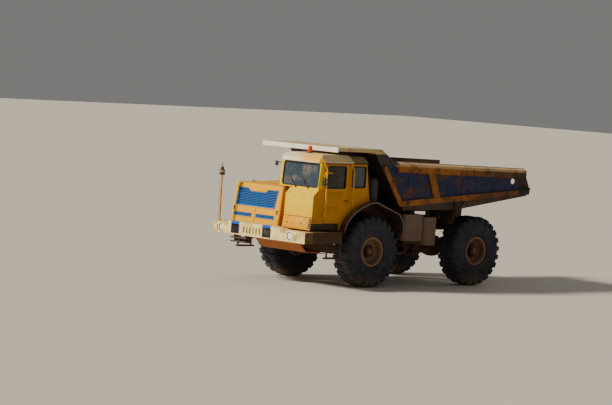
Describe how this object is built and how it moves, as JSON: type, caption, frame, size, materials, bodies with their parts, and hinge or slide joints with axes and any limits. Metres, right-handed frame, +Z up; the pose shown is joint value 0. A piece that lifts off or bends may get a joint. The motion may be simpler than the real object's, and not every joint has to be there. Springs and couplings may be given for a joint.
{
  "type": "mining dump truck",
  "caption": "Rigid mining dump truck with an offset cab, steered front wheels, an opening door and a tipping canopied rock bed on twin hoists.",
  "frame": {"origin": "on the ground, under the middle of the whole truck", "axes": "-Y to the truck's front, +X to its left (cab) side, +Z up"},
  "size_m": [3.274, 7.708, 3.3273],
  "materials": {
    "frame": "dusty",
    "bumper": "worn",
    "lamp": "clear",
    "dark_steel": "dusty",
    "guard": "dirty",
    "hood": "satin",
    "grille": "satin",
    "cab": "satin",
    "roof": "dusty",
    "glass": "tinted",
    "seat": "worn",
    "trim": "matt",
    "beacon": "clear",
    "pole": "worn",
    "fender": "dirty",
    "axle": "rough",
    "rim": "rusty",
    "tyre": "matt",
    "tank": "dirty",
    "grey": "dusty",
    "bed": "worn",
    "rod": "polished",
    "wiper": "matt"
  },
  "bodies": {
    "root": {"frame": "frame", "front_bumper": "bumper", "lamps": "lamp", "tow_hitch": "dark_steel", "sump_guard": "guard", "hood": "hood", "grille": "grille", "radiator": "dark_steel", "engine": "axle", "transmission": "axle", "cab_shell": "cab", "cab_roof": "roof", "cab_glass": "glass", "seat": "seat", "steering_column": "trim", "wipers": "wiper", "handrails": "cab", "beacon": "beacon", "marker_pole": "pole", "front_fenders": "fender", "side_steps": "fender", "front_axle": "axle", "rear_axle": "axle", "suspension": "dark_steel", "fuel_tank": "tank", "oil_tank": "tank", "air_cleaner": "grey"},
    "door": {"cab_door": "cab", "door_glass": "glass"},
    "knuckle_l": {"knuckle_l": "axle"},
    "knuckle_r": {"knuckle_r": "axle"},
    "tie_rod": {"tie_rod": "dark_steel"},
    "wheel_fl": {"rim_fl": "rim", "tyre_fl": "tyre"},
    "wheel_fr": {"rim_fr": "rim", "tyre_fr": "tyre"},
    "wheel_rl": {"rim_rl": "rim", "tyre_rl": "tyre"},
    "wheel_rr": {"rim_rr": "rim", "tyre_rr": "tyre"},
    "bed": {"bed": "bed"},
    "hoist_barrel_l": {"hoist_barrel_l": "dark_steel"},
    "hoist_barrel_r": {"hoist_barrel_r": "dark_steel"},
    "hoist_rod_l": {"hoist_rod_l": "rod"},
    "hoist_rod_r": {"hoist_rod_r": "rod"}
  },
  "joints": [
    {"name": "bed_tip", "type": "hinge", "parent": "root", "child": "bed", "pos_m": [0, 2.389, 1.48], "axis": [-1, 0, 0], "range_deg": [0, 50]},
    {"name": "door_hinge", "type": "hinge", "parent": "root", "child": "door", "pos_m": [1.448, -3.12, 2.2], "axis": [0, 0, -1], "range_deg": [0, 75]},
    {"name": "steer_l", "type": "hinge", "parent": "root", "child": "knuckle_l", "pos_m": [1, -1.581, 0.865], "axis": [0, 0, 1], "range_deg": [-32, 32]},
    {"name": "steer_r", "type": "hinge", "parent": "root", "child": "knuckle_r", "pos_m": [-1, -1.581, 0.865], "axis": [0, 0, 1], "range_deg": [-32, 32]},
    {"name": "tie_rod_pivot", "type": "hinge", "parent": "knuckle_l", "child": "tie_rod", "pos_m": [1, -1.251, 0.669], "axis": [0, 0, 1], "range_deg": [-32, 32]},
    {"name": "wheel_fl_spin", "type": "hinge", "parent": "knuckle_l", "child": "wheel_fl", "pos_m": [1.334, -1.581, 0.865], "axis": [1, 0, 0], "continuous": true},
    {"name": "wheel_fr_spin", "type": "hinge", "parent": "knuckle_r", "child": "wheel_fr", "pos_m": [-1.334, -1.581, 0.865], "axis": [1, 0, 0], "continuous": true},
    {"name": "wheel_rl_spin", "type": "hinge", "parent": "root", "child": "wheel_rl", "pos_m": [1.334, 2.019, 0.865], "axis": [1, 0, 0], "continuous": true},
    {"name": "wheel_rr_spin", "type": "hinge", "parent": "root", "child": "wheel_rr", "pos_m": [-1.334, 2.019, 0.865], "axis": [1, 0, 0], "continuous": true},
    {"name": "hoist_l_swing", "type": "hinge", "parent": "root", "child": "hoist_barrel_l", "pos_m": [0.622, 0.719, 0.7], "axis": [-1, 0, 0], "range_deg": [0, 5.16]},
    {"name": "hoist_l_slide", "type": "slide", "parent": "hoist_barrel_l", "child": "hoist_rod_l", "axis": [0, 0.6402, 0.7682], "range_m": [0, 0.64716]},
    {"name": "hoist_r_swing", "type": "hinge", "parent": "root", "child": "hoist_barrel_r", "pos_m": [-0.622, 0.719, 0.7], "axis": [-1, 0, 0], "range_deg": [0, 5.16]},
    {"name": "hoist_r_slide", "type": "slide", "parent": "hoist_barrel_r", "child": "hoist_rod_r", "axis": [0, 0.6402, 0.7682], "range_m": [0, 0.64716]}
  ],
  "couplings": [
    {"joint": "steer_r", "follows": "steer_l", "ratio": 1},
    {"joint": "tie_rod_pivot", "follows": "steer_l", "ratio": -1},
    {"joint": "hoist_l_swing", "follows": "bed_tip", "ratio": 0.1031},
    {"joint": "hoist_l_slide", "follows": "bed_tip", "m_per_rad": 0.74159},
    {"joint": "hoist_r_swing", "follows": "bed_tip", "ratio": 0.1031},
    {"joint": "hoist_r_slide", "follows": "bed_tip", "m_per_rad": 0.74159}
  ]
}
